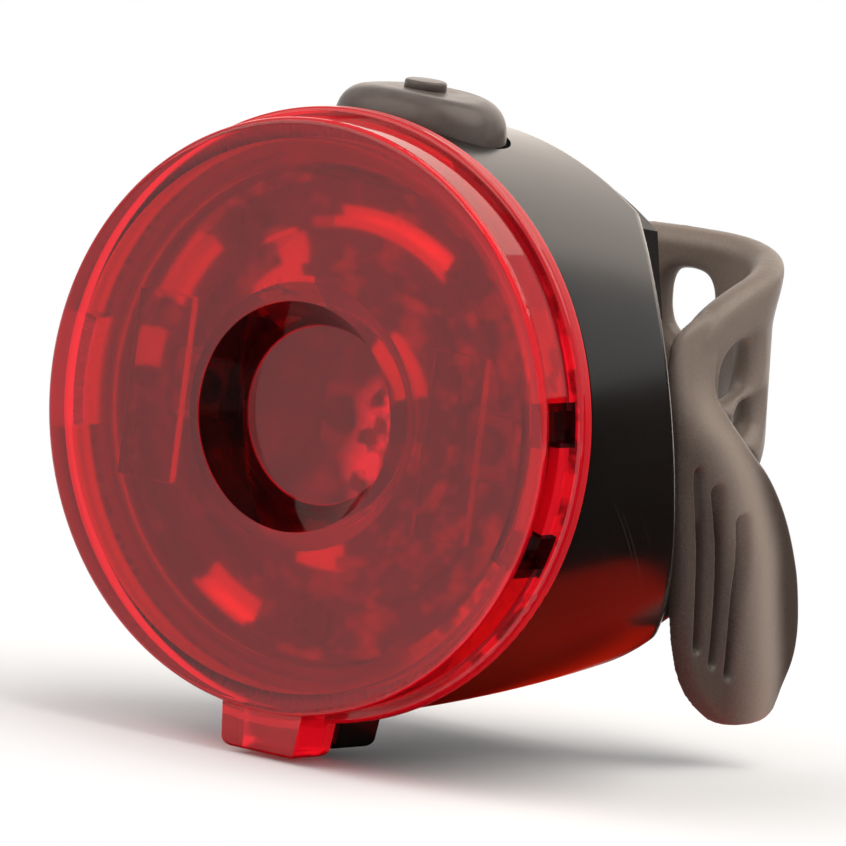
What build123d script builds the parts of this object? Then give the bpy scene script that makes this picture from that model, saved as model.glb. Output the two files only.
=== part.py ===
from build123d import *
import math
import os

# Round rear light for a bicycle, strapped to a seat post. Millimetres and degrees.
# +Z is up, the light shines towards -Y, and the origin is the middle of the saddle
# that rests on the post. Pieces of the lamp are drawn with the lens face at Y = 0 and
# their depth along +Y. Pieces of the mount are drawn with the post along Z and the
# saddle's middle at the origin. Both sets are moved into the row's frame at the end.

# Whole light
post_lean = 17.5
overrun = 1.0
running_gap = 0.05
slip_gap = 0.15

# Coin cells and their carrier, which set the drum's size
cell_radius = 10.0
cell_thickness = 3.2
cell_count = 2
cell_drop = 2.0
can_wall = 0.3
cap_rise = 0.2
gasket_width = 0.5
carrier_gap = 0.25
carrier_wall = 1.15
carrier_floor = 0.8
carrier_ring_height = 6.1
carrier_peg_radius = 1.0
carrier_peg_length = 2.4
carrier_peg_shares = [(-0.81, 0.40), (0.81, 0.40), (-0.66, -0.53), (0.66, -0.53)]
carrier_window_share = 0.44
cell_play = 0.2
strip_thickness = 0.25
strip_width = 4.0
strip_gap = 0.25
strip_foot = 2.0
leaf_contact_width = 3.0
leaf_contact_reach = 6.4

# Housing
drum_margin = 6.2
drum_mid_drop = 0.65
drum_end_drop = 2.4
drum_mid_share = 0.46
drum_tail = 5.25
back_room = 8.2
housing_wall = 1.8
back_wall = 1.6
back_width_share = 0.568
facet_angle = 46.8
edge_round = 1.2
housing_tab_depth = 4.1
housing_tab_rise = 0.4
post_radius = 1.6
upper_post_shares = (0.563, 0.669)
lower_post_share = 0.873

# Lens cap
lens_step = 0.15
lip_overhang = 0.55
cap_depth = 4.4
lip_width = 1.3
lens_thickness = 1.3
lens_round = 0.4
lip_round = 0.3
cap_wall = 1.25
recess_rim_share = 0.387
recess_slope = 1.55
recess_depth = 3.0
recess_wall = 1.1
skirt_wall = 0.9
skirt_length = 2.8
skirt_notch = 10.4
pocket_angle = 31.6
pocket_turn = 4.9
far_boss_angle = 23.8
pocket_boss_angle = 35.0
pocket_tongue_angle = 19.1
pocket_tongue_front = 2.0
pocket_tongue_step = 0.2
pocket_front = 0.6
pocket_depth = 1.1
pocket_wall = 0.95
optic_share = 0.596
optic_width = 3.7
optic_height = 11.0
optic_relief = 0.6
tab_width = 5.8
tab_tip_width = 5.0
tab_drop = 1.9
tab_front = 0.6
tab_round = 0.6

# Seal between cap and housing
seal_thickness = 0.5
seal_width = 1.1
seal_inset = 0.25

# Push button
button_back = 4.5
button_length = 10.6
button_width = 7.8
button_rise = 1.55
button_round = 1.6
button_travel = 0.6
button_gap = 0.3
button_sink = 0.25
button_boss_drop = 0.25
button_boss_radius = 3.6
dot_radius = 1.25
dot_height = 0.55
dot_round = 0.2
stem_radius = 2.0
flange_radius = 2.9
flange_thickness = 0.7
nub_radius = 1.2
nub_height = 0.3

# Light board
board_room = 2.4
board_thickness = 1.0
board_edge_gap = 0.55
board_flat_gap = 0.9
reflector_edge_gap = 0.35
reflector_base = 1.0
reflector_rib = 0.9
reflector_rib_width = 0.7
reflector_rib_shares = (0.625, 0.806)
window_width = 3.4
window_height = 4.2
diode_width = 2.8
diode_height = 3.5
diode_thickness = 0.9
dome_radius = 1.15
chip_width = 5.0
chip_height = 4.0
chip_thickness = 1.5
chip_rise_share = 0.35
row_share = 0.45
resistor_size = (1.6, 0.6, 0.8)
resistor_pitch = 1.7
capacitor_size = (2.0, 0.9, 1.25)
capacitor_pitch = 1.8

# Push switch on the back of the board
switch_width = 4.6
switch_height = 3.1
plunger_radius = 0.9
plunger_height = 0.6
plunger_travel = 0.25
plunger_depth = 0.8
plunger_gap = 0.4

# Screws
board_screw_head = 1.4
board_screw_head_height = 0.8
board_screw_radius = 0.8
board_screw_length = 3.8
bracket_screw_head = 1.7
bracket_screw_head_height = 0.9
bracket_screw_radius = 0.95
bracket_screw_length = 4.0
bracket_screw_shares = (0.807, -0.67)
cross_width = 0.4
cross_depth = 0.4
cross_share = 0.65

# Rear bracket, saddle pad and strap root, in the post's frame
plate_thickness = 1.8
plate_inset = 0.9
pad_thickness = 1.2
pad_margin = 2.0
pad_half_height = 8.5
pad_curve_radius = 16.0
pad_round = 0.8
pad_groove_width = 0.8
pad_groove_depth = 0.4
pad_groove_pitch = 2.8
screw_boss_radius = 1.9
screw_boss_length = 1.6
root_step = 0.9
root_rise = 1.1
pin_radius = 0.9
eye_radius = 2.0
ear_thickness = 1.6
ear_gap = 0.3
left_waist_gap = 0.6
right_waist_gap = 1.9
waist_slack = 0.3
hook_reach = 2.7
hook_width = 1.6
hook_height = 2.8
hook_lip = 0.5
hook_lip_thickness = 0.8

# Strap, in the post's frame
strap_thickness = 2.0
strap_lean = 10.8
band_width = 8.8
band_low = -2.2
band_drop = 3.4
near_step = 0.5
band_depth = 11.25
band_corner = 7.2
near_end = 1.2
slope_start_share = 0.3
slope_end_share = 0.9
hole_width = 3.7
hole_height = 4.3
hole_round = 1.6
hole_rise = 4.95
back_hole_share = 0.33
near_hole_back = 2.25
leaf_step = 0.45
leaf_thickness = 1.35
leaf_top = 7.2
leaf_width = 11.85
leaf_length = 26.6
leaf_shares = [(-0.085, 0), (-0.215, 0.365), (-0.295, 0.703), (-0.125, 0.887), (0.29, 0.992),
               (0.565, 0.94), (0.645, 0.782), (0.53, 0.53), (0.28, 0.331), (0.15, 0.211),
               (0.135, 0.098), (0.3, 0)]
groove_width = 0.8
groove_depth = 0.5
groove_round = 0.25
groove_lean = 7.0
groove_pitch_share = 0.148
groove_first_share = -0.135
groove_top_share = 0.395
groove_bottom_share = 0.752
groove_step = 2.3
groove_bottom_step = 1.3
groove_count = 3

# Sizes that follow: round shapes
carrier_inner = cell_radius + carrier_gap
carrier_outer = carrier_inner + carrier_wall
drum_radius = carrier_outer + drum_margin
drum_mid_radius = drum_radius - drum_mid_drop
drum_end_radius = drum_radius - drum_end_drop
lens_radius = drum_radius - lens_step
lip_radius = lens_radius + lip_overhang
cap_inner_radius = lens_radius - cap_wall
cavity_radius = drum_radius - housing_wall
skirt_outer = cavity_radius - slip_gap
skirt_inner = skirt_outer - skirt_wall
recess_rim_radius = lens_radius * recess_rim_share
recess_floor_radius = recess_rim_radius - recess_slope
pocket_floor = lens_radius - pocket_depth
optic_offset = lens_radius * optic_share
board_radius = skirt_inner - board_edge_gap
reflector_radius = skirt_inner - reflector_edge_gap
button_floor_radius = drum_radius - button_sink - button_travel - slip_gap
button_under_radius = drum_radius - button_sink

# Sizes that follow: depths behind the lens face
rim_depth = cap_depth + seal_thickness
lip_front = cap_depth - lip_width
skirt_back = cap_depth + skirt_length
cup_back = recess_depth + recess_wall
board_front = cup_back + board_room
board_back = board_front + board_thickness
reflector_front = board_front - reflector_base
diode_front = board_front - diode_thickness
carrier_front = board_back + carrier_peg_length
lower_post_length = carrier_peg_length - slip_gap
stack_front = carrier_front + carrier_floor + cell_play
stack_back = stack_front + cell_count * cell_thickness
saddle_depth = stack_back + strip_thickness + back_room
drum_end_depth = saddle_depth + drum_tail
drum_mid_depth = rim_depth + (drum_end_depth - rim_depth) * drum_mid_share
button_depth = rim_depth + button_back
switch_depth = 2 * (button_depth - board_back)

# Sizes that follow: heights of the lamp's pieces
tab_tip_z = -(lip_radius + tab_drop)
button_top = drum_radius + button_rise
button_boss_z = cavity_radius - button_boss_drop
flange_top = button_boss_z - running_gap
flange_low = flange_top - flange_thickness
nub_low = flange_low - nub_height
switch_top = nub_low - plunger_gap - plunger_height
switch_low_z = switch_top - switch_height
board_flat_z = nub_low - board_flat_gap
upper_post_x, upper_post_z = [board_radius * share for share in upper_post_shares]
lower_post_z = board_radius * lower_post_share
cell_z = -cell_drop
chip_z = board_radius * chip_rise_share
board_row_x = board_radius * row_share

# Sizes that follow: the mount, in the post's frame
back_half_width = drum_radius * back_width_share
plate_back = -pad_thickness
housing_back = plate_back - plate_thickness
pad_half_width = back_half_width - pad_margin
upper_screw_z, lower_screw_z = [drum_radius * share for share in bracket_screw_shares]
root_x = back_half_width + root_step
root_y = plate_back + root_rise
near_x = back_half_width + near_step
left_waist = root_x - eye_radius - left_waist_gap
right_waist = near_x - strap_thickness / 2 - right_waist_gap
band_top = band_low + band_width
band_deep = band_low - band_drop
band_back = band_depth
eye_low = band_low
eye_top = band_top
slope_start_x = near_x * slope_start_share
slope_end_x = near_x * slope_end_share
hole_z = band_low + hole_rise
back_hole_x = near_x * back_hole_share
near_hole_y = near_end + near_hole_back
leaf_inner_x = near_x + leaf_step
leaf_outer_x = leaf_inner_x + leaf_thickness
groove_first_y = leaf_width * groove_first_share
groove_pitch = leaf_width * groove_pitch_share
groove_top_z = leaf_top - leaf_length * groove_top_share
groove_bottom_z = leaf_top - leaf_length * groove_bottom_share

# The post's frame as seen from the lamp's frame
post_in_lamp = Pos(0, saddle_depth, 0) * Rot(post_lean, 0, 0)
lamp_in_row = Pos(0, -saddle_depth, 0)
post_in_row = Rot(post_lean, 0, 0)


def disc(radius, front, back, x=0, z=0):
    """A round slab across the lamp's axis, between two depths."""
    return Pos(x, (front + back) / 2, z) * Rot(90, 0, 0) * Cylinder(radius, back - front)


def ring(outer, inner, front, back, x=0, z=0):
    """A flat or tall ring across the lamp's axis."""
    return disc(outer, front, back, x, z) - disc(inner, front, back, x, z)


def block(x_limits, y_limits, z_limits):
    """A box between three pairs of limits."""
    limits = (x_limits, y_limits, z_limits)
    middle = [(low + high) / 2 for low, high in limits]
    size = [high - low for low, high in limits]
    return Pos(*middle) * Box(*size)


def turned(outline):
    """A solid turned about the lamp's axis from points of radius and depth."""
    return revolve(make_face(Polyline(*outline, close=True)), Axis.Y)


def sector(outer, inner, front, back, spread, middle=0):
    """Part of a ring, spread to both sides of an angle about the lamp's axis."""
    outline = [(inner, front), (outer, front), (outer, back), (inner, back)]
    part = revolve(make_face(Polyline(*outline, close=True)), Axis.Y, spread)
    return Rot(0, middle - spread / 2, 0) * part


def round_edges(solid, radius, depth):
    """A turned solid's circular edges of one radius at one depth."""
    circles = solid.edges().filter_by(GeomType.CIRCLE)
    near = overrun / 10
    return [edge for edge in circles
            if abs(edge.radius - radius) < near and abs(edge.arc_center.Y - depth) < near]


def screw(head_radius, head_height, shank_radius, shank_length):
    """A pan-head screw along +Y, with the top of its head at Y = 0."""
    body = disc(head_radius, 0, head_height)
    body += disc(shank_radius, head_height, head_height + shank_length)
    arm = head_radius * cross_share
    half = cross_width / 2
    cross = block((-arm, arm), (-cross_depth, cross_depth), (-half, half))
    cross += block((-half, half), (-cross_depth, cross_depth), (-arm, arm))
    return body - cross


# Housing shape, shared by the shell, its cavity and the bracket


def drum(inset):
    """The round body behind the seal, with its side moved in by an inset."""
    side = ThreePointArc((drum_radius - inset, rim_depth),
                         (drum_mid_radius - inset, drum_mid_depth),
                         (drum_end_radius - inset, drum_end_depth))
    end = Line((drum_end_radius - inset, drum_end_depth), (0, drum_end_depth))
    axis = Line((0, drum_end_depth), (0, rim_depth))
    front = Line((0, rim_depth), (drum_radius - inset, rim_depth))
    return revolve(make_face([side, end, axis, front]), Axis.Y)


def wedge(inset):
    """The slanted back and its two side facets, as a prism along the post."""
    corner = back_half_width - inset * math.tan(math.radians(facet_angle / 2))
    back = housing_back - inset
    reach = 2 * drum_radius
    far_x = corner + reach * math.cos(math.radians(facet_angle))
    far_y = back - reach * math.sin(math.radians(facet_angle))
    outline = [(corner, back), (far_x, far_y), (far_x, far_y - reach), (-far_x, far_y - reach),
               (-far_x, far_y), (-corner, back)]
    prism = extrude(make_face(Polyline(*outline, close=True)), reach, both=True)
    return post_in_lamp * prism


def board_posts(radius, front):
    """Posts that the light board is screwed to, from a depth to the back."""
    upper = disc(radius, front, drum_end_depth, upper_post_x, upper_post_z)
    upper += disc(radius, front, drum_end_depth, -upper_post_x, upper_post_z)
    lower = disc(radius, front, front + lower_post_length, 0, -lower_post_z)
    return upper, lower


def button_prism(margin, low, high):
    """The button's outline with a margin, upright between two heights."""
    outline = SlotOverall(button_length + 2 * margin, button_width + 2 * margin)
    return Pos(0, button_depth, low) * extrude(outline, high - low)


def bracket_screw_places():
    """Where the two bracket screws stand on the plate, in the post's frame."""
    return [(0, upper_screw_z), (0, lower_screw_z)]


# Lamp, in its own frame


def lens_cap():
    """Clear cap: flat face, blind recess, side pocket, tongue, lip, skirt and release tab."""
    outline = [(0, recess_depth), (recess_floor_radius, recess_depth), (recess_rim_radius, 0),
               (lens_radius, 0), (lens_radius, lip_front), (lip_radius, lip_front),
               (lip_radius, cap_depth), (skirt_outer, cap_depth), (skirt_outer, skirt_back),
               (skirt_inner, skirt_back), (skirt_inner, lip_front),
               (cap_inner_radius, lip_front), (cap_inner_radius, lens_thickness),
               (recess_rim_radius + recess_wall, lens_thickness),
               (recess_floor_radius + recess_wall, cup_back), (0, cup_back)]
    cap = turned(outline)
    cap = fillet(round_edges(cap, lens_radius, 0), lens_round)
    cap = fillet(round_edges(cap, lip_radius, lip_front)
                 + round_edges(cap, lip_radius, cap_depth), lip_round)
    for turn, spread in ((pocket_turn, pocket_boss_angle), (180, far_boss_angle)):
        cap += sector(cap_inner_radius + overrun / 2, pocket_floor - pocket_wall,
                      lens_thickness / 2, lip_front + lip_width / 2, spread, turn)
    cap -= sector(lip_radius + overrun, pocket_floor, pocket_front, lip_front, pocket_angle,
                  pocket_turn)
    cap += sector(lens_radius - pocket_tongue_step, pocket_floor - pocket_wall / 2,
                  pocket_tongue_front, lip_front + lip_width / 2, pocket_tongue_angle, pocket_turn)
    for middle in (-optic_offset, optic_offset):
        cap += block((middle - optic_width / 2, middle + optic_width / 2),
                     (lens_thickness / 2, lens_thickness + optic_relief),
                     (-optic_height / 2, optic_height / 2))
    notch = block((-skirt_notch / 2, skirt_notch / 2), (cap_depth, skirt_back + overrun),
                  (skirt_inner / 2, lip_radius))
    cap -= notch
    return cap + release_tab(tab_front, cap_depth, tab_tip_z, tab_round, lens_radius)


def release_tab(front, back, tip_z, corner, root_radius):
    """A tapered finger tab under the rim, between two depths."""
    root_z = -(root_radius - overrun)
    outline = [(-tab_width / 2, root_z), (tab_width / 2, root_z),
               (tab_tip_width / 2, tip_z), (-tab_tip_width / 2, tip_z)]
    face = Plane.XZ * make_face(Polyline(*outline, close=True))
    tab = Pos(0, back, 0) * extrude(face, back - front)
    tip_edges = tab.edges().group_by(Axis.Z)[0]
    return fillet(tip_edges, corner)


def lens_seal():
    """Flat ring squeezed between the cap's lip and the housing's rim."""
    outer = drum_radius - seal_inset
    return ring(outer, outer - seal_width, cap_depth, rim_depth)


def housing():
    """Drum with a slanted back, button pocket, inner posts and a tab below."""
    outer = drum(0) & wedge(0)
    rear_faces = [face for face in outer.faces().filter_by(GeomType.PLANE)
                  if face.center().Y > rim_depth + overrun]
    rear_edges = []
    for face in rear_faces:
        for edge in face.edges():
            if not any(edge.is_same(other) for other in rear_edges):
                rear_edges.append(edge)
    shell = fillet(rear_edges, edge_round)
    shell -= drum(housing_wall) & wedge(back_wall)
    core = drum(housing_wall / 2) & wedge(back_wall / 2)
    upper_posts, lower_post = board_posts(post_radius, board_back)
    web = block((-post_radius, post_radius), (board_back, board_back + lower_post_length),
                (-drum_radius, -lower_post_z))
    boss = Pos(0, button_depth, button_boss_z) * Cylinder(
        button_boss_radius, housing_wall, align=(Align.CENTER, Align.CENTER, Align.MIN))
    inner = upper_posts + lower_post + web + boss
    for x, z in bracket_screw_places():
        inner += post_in_lamp * disc(screw_boss_radius, housing_back - back_wall - screw_boss_length,
                                     housing_back, x, z)
    shell += inner & core
    shell += release_tab(rim_depth, rim_depth + housing_tab_depth, tab_tip_z + housing_tab_rise,
                         tab_round, drum_radius)
    return shell - housing_holes()


def housing_holes():
    """Button pocket, stem hole and the pilot holes of all screws."""
    pocket = button_prism(button_gap, button_boss_z, button_top)
    holes = pocket - disc(button_floor_radius, 0, saddle_depth)
    holes += Pos(0, button_depth, button_boss_z) * Cylinder(stem_radius + slip_gap, button_top)
    flange_seat = Cylinder(flange_radius + slip_gap, button_boss_z - flange_low,
                           align=(Align.CENTER, Align.CENTER, Align.MIN))
    holes += Pos(0, button_depth, flange_low) * flange_seat
    pilot = board_screw_radius + running_gap
    depth = reflector_front + board_screw_length + slip_gap
    for x, z in board_screw_places():
        holes += disc(pilot, board_back - overrun, depth, x, z)
    for x, z in bracket_screw_places():
        tip = plate_back - bracket_screw_head_height - bracket_screw_length - slip_gap
        holes += post_in_lamp * disc(bracket_screw_radius + running_gap, tip,
                                     plate_back, x, z)
    return holes


def board_screw_places():
    """Where the three board screws stand."""
    return [(upper_post_x, upper_post_z), (-upper_post_x, upper_post_z), (0, -lower_post_z)]


def button():
    """Rubber button: rounded cap with a dot, a stem and a flange inside."""
    cap = button_prism(0, button_boss_z, button_top)
    cap = fillet(cap.faces().sort_by(Axis.Z)[-1].edges(), button_round)
    cap -= disc(button_under_radius, 0, saddle_depth)
    dot = Cylinder(dot_radius, dot_height * 2)
    dot = fillet(dot.faces().sort_by(Axis.Z)[-1].edges(), dot_round)
    body = cap + Pos(0, button_depth, button_top) * dot
    stem_bottom = (Align.CENTER, Align.CENTER, Align.MIN)
    body += Pos(0, button_depth, flange_top) * Cylinder(stem_radius, button_top - flange_top
                                                        - button_round, align=stem_bottom)
    body += Pos(0, button_depth, flange_low) * Cylinder(flange_radius, flange_thickness,
                                                        align=stem_bottom)
    return body + Pos(0, button_depth, nub_low) * Cylinder(nub_radius, nub_height,
                                                           align=stem_bottom)


def diode_places():
    """Where the light-emitting diodes stand on the board."""
    return [(-optic_offset, 0), (0, 0), (optic_offset, 0)]


def reflector():
    """Masked frame on the board: base, round ribs, diode windows, screw seats."""
    frame = disc(reflector_radius, reflector_front, board_front)
    rib_front = reflector_front - reflector_rib
    rib_radii = [reflector_radius * share for share in reflector_rib_shares]
    for outer in rib_radii + [reflector_radius]:
        frame += ring(outer, outer - reflector_rib_width, rib_front, reflector_front)
    frame -= top_flat(rib_front, board_front)
    for x, z in diode_places():
        frame -= block((x - window_width / 2, x + window_width / 2), (rib_front, board_front),
                       (z - window_height / 2, z + window_height / 2))
    for x, z in board_screw_places():
        frame -= disc(board_screw_head + slip_gap, rib_front, reflector_front, x, z)
        frame -= disc(board_screw_radius + running_gap, reflector_front, board_front, x, z)
    return frame


def top_flat(front, back):
    """What the flat at the top takes off the board and the reflector."""
    return block((-board_radius, board_radius), (front, back), (board_flat_z, lip_radius))


def circuit_board():
    """Round board with a flat at the top under the button's flange."""
    board = disc(board_radius, board_front, board_back) - top_flat(board_front, board_back)
    for x, z in board_screw_places():
        board -= disc(board_screw_radius + running_gap, board_front, board_back, x, z)
    return board


def led_packages():
    """Diode bodies on the board's front."""
    return [block((x - diode_width / 2, x + diode_width / 2), (diode_front, board_front),
                  (z - diode_height / 2, z + diode_height / 2)) for x, z in diode_places()]


def led_lenses():
    """Clear half-round domes on the diodes."""
    half = block((-dome_radius, dome_radius), (-dome_radius, 0), (-dome_radius, dome_radius))
    dome = Sphere(dome_radius) & half
    return [Pos(x, diode_front, z) * dome for x, z in diode_places()]


def controller_chip():
    """Controller on the back of the board."""
    return block((-chip_width / 2, chip_width / 2), (board_back, board_back + chip_thickness),
                 (chip_z - chip_height / 2, chip_z + chip_height / 2))


def small_part(size, x, z):
    """A small block-shaped part on the back of the board."""
    width, thickness, height = size
    return block((x - width / 2, x + width / 2), (board_back, board_back + thickness),
                 (z - height / 2, z + height / 2))


def chip_resistors():
    """Three resistors in a row beside the controller."""
    return [small_part(resistor_size, -board_row_x, chip_z + step * resistor_pitch)
            for step in (-1, 0, 1)]


def chip_capacitors():
    """Two capacitors on the other side of the controller."""
    return [small_part(capacitor_size, board_row_x, chip_z),
            small_part(capacitor_size, board_row_x, chip_z + capacitor_pitch)]


def switch_body():
    """Push switch with its plunger hole upwards."""
    half = switch_width / 2
    body = block((-half, half), (board_back, board_back + switch_depth), (switch_low_z, switch_top))
    hole_low = switch_top - plunger_depth - plunger_travel
    bottom = (Align.CENTER, Align.CENTER, Align.MIN)
    return body - Pos(0, button_depth, hole_low) * Cylinder(plunger_radius + running_gap,
                                                            switch_height, align=bottom)


def switch_plunger():
    """Round plunger that stands in the switch."""
    bottom = (Align.CENTER, Align.CENTER, Align.MIN)
    return Pos(0, button_depth, switch_top - plunger_depth) * Cylinder(
        plunger_radius, plunger_depth + plunger_height, align=bottom)


def battery_carrier():
    """Open cup behind the board that holds the stacked cells."""
    floor_back = carrier_front + carrier_floor
    cup = ring(carrier_outer, carrier_inner, floor_back, floor_back + carrier_ring_height, 0, cell_z)
    cup += ring(carrier_outer, carrier_outer * carrier_window_share, carrier_front, floor_back,
                0, cell_z)
    for x_share, z_share in carrier_peg_shares:
        cup += disc(carrier_peg_radius, board_back, carrier_front,
                    x_share * carrier_outer, cell_z + z_share * carrier_outer)
    return cup


def cell_fronts():
    """The front depth of each cell in the stack."""
    return [stack_front + number * cell_thickness for number in range(cell_count)]


def cell_cans():
    """Steel cans, open towards the front."""
    cans = []
    for front in cell_fronts():
        can = disc(cell_radius, front + cap_rise, front + cell_thickness, 0, cell_z)
        can -= disc(cell_radius - can_wall, front + cap_rise, front + cell_thickness - can_wall,
                    0, cell_z)
        cans.append(can)
    return cans


def cell_gaskets():
    """Sealing rings between can and cap."""
    outer = cell_radius - can_wall
    return [ring(outer, outer - gasket_width, front + cap_rise, front + cell_thickness - can_wall,
                 0, cell_z) for front in cell_fronts()]


def cell_caps():
    """Negative caps, raised a little above the cans."""
    radius = cell_radius - can_wall - gasket_width
    return [disc(radius, front, front + cell_thickness - can_wall, 0, cell_z)
            for front in cell_fronts()]


def positive_contact():
    """Strip behind the cells, round the carrier's side and onto the board."""
    side = carrier_outer + strip_gap
    heights = (cell_z - strip_width / 2, cell_z + strip_width / 2)
    back = stack_back + strip_thickness
    strip = block((-cell_radius / 2, side + strip_thickness), (stack_back, back), heights)
    strip += block((side, side + strip_thickness), (board_back, back), heights)
    return strip + block((side - strip_foot, side), (board_back, board_back + strip_thickness),
                         heights)


def negative_contact():
    """Bent leaf between the board and the first cell's cap."""
    half = leaf_contact_reach / 2
    third = leaf_contact_reach / 6
    front_low = board_back + strip_thickness
    back_low = stack_front - strip_thickness
    outline = [(-half, board_back), (-third, board_back), (third, back_low), (half, back_low),
               (half, stack_front), (third - strip_thickness, stack_front),
               (-third - strip_thickness, front_low), (-half, front_low)]
    leaf = extrude(make_face(Polyline(*outline, close=True)), leaf_contact_width / 2, both=True)
    return Pos(0, 0, cell_z) * leaf


def board_screws():
    """Screws through reflector and board into the housing's posts."""
    body = screw(board_screw_head, board_screw_head_height, board_screw_radius,
                 board_screw_length)
    return [Pos(x, reflector_front - board_screw_head_height, z) * body
            for x, z in board_screw_places()]


# Mount, in the post's frame


def rear_bracket():
    """Plate on the housing's back with hinge ears on the left and a hook on the right."""
    slab = block((-back_half_width, back_half_width), (housing_back, plate_back),
                 (-2 * drum_radius, 2 * drum_radius))
    plate = (post_in_lamp.inverse() * drum(plate_inset)) & slab
    eye_slack = eye_radius + waist_slack
    plate -= block((-back_half_width - overrun, -left_waist), (housing_back, plate_back),
                   (eye_low - ear_gap, eye_top + ear_gap))
    plate -= block((right_waist, back_half_width + overrun), (housing_back, plate_back),
                   (band_deep - waist_slack, leaf_top + waist_slack))
    for low in (eye_low - ear_gap - ear_thickness, eye_top + ear_gap):
        limits = (low, low + ear_thickness)
        plate += block((-root_x, -back_half_width + eye_slack), (housing_back, plate_back), limits)
        plate += block((-root_x - eye_radius, -root_x + eye_radius), (housing_back, root_y), limits)
        plate += Pos(-root_x, root_y, low + ear_thickness / 2) * Cylinder(eye_radius, ear_thickness)
    plate -= Pos(-root_x, root_y, (eye_low + eye_top) / 2) * Cylinder(
        pin_radius + running_gap, 2 * drum_radius)
    plate += strap_hook()
    for x, z in bracket_screw_places():
        seat = plate_back - bracket_screw_head_height
        plate -= disc(bracket_screw_head + slip_gap, seat, plate_back, x, z)
        plate -= disc(bracket_screw_radius + running_gap, housing_back, seat, x, z)
    return plate


def strap_hook():
    """Peg with a lip that one of the strap's holes goes over."""
    tip = right_waist + hook_reach
    middle = (housing_back + plate_back) / 2
    heights = (hole_z - hook_height / 2, hole_z + hook_height / 2)
    back = middle + hook_width / 2
    peg = block((right_waist - overrun, tip), (middle - hook_width / 2, back), heights)
    lip = block((tip - hook_lip_thickness, tip), (back - overrun, back + hook_lip), heights)
    return peg + lip


def bracket_screws():
    """Screws from the bracket into the housing's back."""
    body = screw(bracket_screw_head, bracket_screw_head_height, bracket_screw_radius,
                 bracket_screw_length)
    return [Pos(x, plate_back, z) * Rot(180, 0, 0) * body for x, z in bracket_screw_places()]


def mount_pad():
    """Rubber saddle with a hollow face for the post and cross grooves."""
    pad = block((-pad_half_width, pad_half_width), (plate_back, pad_curve_radius / 2),
                (-pad_half_height, pad_half_height))
    pad = fillet(pad.edges().filter_by(Axis.Y), pad_round)
    pad -= Pos(0, pad_curve_radius, 0) * Cylinder(pad_curve_radius, 3 * pad_half_height)
    for number in (-2, -1, 1, 2):
        middle = number * pad_groove_pitch
        groove = Pos(0, pad_curve_radius, middle) * Cylinder(pad_curve_radius + pad_groove_depth,
                                                             pad_groove_width)
        pad -= groove
    return pad


def strap_pin():
    """Steel pin through the ears and the strap's eye."""
    low = eye_low - ear_gap - ear_thickness
    high = eye_top + ear_gap + ear_thickness
    return Pos(-root_x, root_y, (low + high) / 2) * Cylinder(pin_radius, high - low)


def strap_band():
    """The strap's loop behind the lamp, open at the front, leaning back at the top."""
    half = strap_thickness / 2
    outer_width = root_x + near_x + strap_thickness
    depth = 2 * (band_back + half)
    outer = RectangleRounded(outer_width, depth, band_corner)
    inner = RectangleRounded(outer_width - 2 * strap_thickness, depth - 2 * strap_thickness,
                             band_corner - strap_thickness)
    loop = Pos((near_x - root_x) / 2, 0) * (outer - inner)
    loop -= Pos(-outer_width / 2, -depth / 2) * Rectangle(outer_width, depth)
    loop -= Pos(outer_width / 2, near_end - depth / 2) * Rectangle(outer_width, depth)
    lean = math.radians(strap_lean)
    height = band_top - band_deep
    start = Pos(0, band_deep * math.tan(lean), band_deep) * loop
    band = extrude(start, height / math.cos(lean), dir=(0, math.sin(lean), math.cos(lean)))
    reach = 2 * outer_width
    below = [(-reach, band_low), (slope_start_x, band_low), (slope_end_x, band_deep),
             (slope_end_x, band_deep - overrun), (-reach, band_deep - overrun)]
    return band - Pos(0, reach, 0) * extrude(Plane.XZ * make_face(Polyline(*below, close=True)),
                                             2 * reach)


def strap_hole(across):
    """A rounded hole of the strap, cut along +Y by a length."""
    outline = RectangleRounded(hole_width, hole_height, hole_round)
    return Pos(0, across, hole_z) * extrude(Plane.XZ * outline, across)


def strap_leaf():
    """The thumb tab: a leaf beside the bracket with grooves in its outer face."""
    points = [(y_share * leaf_width, leaf_top - z_share * leaf_length)
              for y_share, z_share in leaf_shares]
    arcs = [ThreePointArc(*points[start:start + 3]) for start in (0, 2, 4, 6, 8)]
    sides = [Line(points[10], points[11]), Line(points[11], points[0])]
    face = Plane.YZ * make_face(arcs + sides)
    leaf = Pos(leaf_inner_x, 0, 0) * extrude(face, leaf_outer_x - leaf_inner_x)
    for number in range(groove_count):
        top = groove_top_z - number * groove_step
        length = top - (groove_bottom_z - number * groove_bottom_step)
        cutter = RectangleRounded(groove_width, length, groove_round)
        middle = (groove_first_y + number * groove_pitch, top - length / 2)
        shape = Plane.YZ * (Pos(*middle) * Rot(0, 0, -groove_lean) * cutter)
        leaf -= Pos(leaf_outer_x - groove_depth, 0, 0) * extrude(shape, overrun)
    return leaf


def strap():
    """Loop, leaf and root eye in one moulding."""
    body = strap_band() + strap_leaf()
    body += Pos(-root_x, root_y, (eye_low + eye_top) / 2) * Cylinder(eye_radius, eye_top - eye_low)
    body -= Pos(-root_x, root_y, 0) * Cylinder(pin_radius + running_gap, 2 * drum_radius)
    body -= Pos(back_hole_x, 0, 0) * strap_hole(2 * band_back)
    side_hole = Rot(0, 0, -90) * strap_hole(2 * near_x)
    return body - Pos(0, near_hole_y, 0) * side_hole


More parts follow.
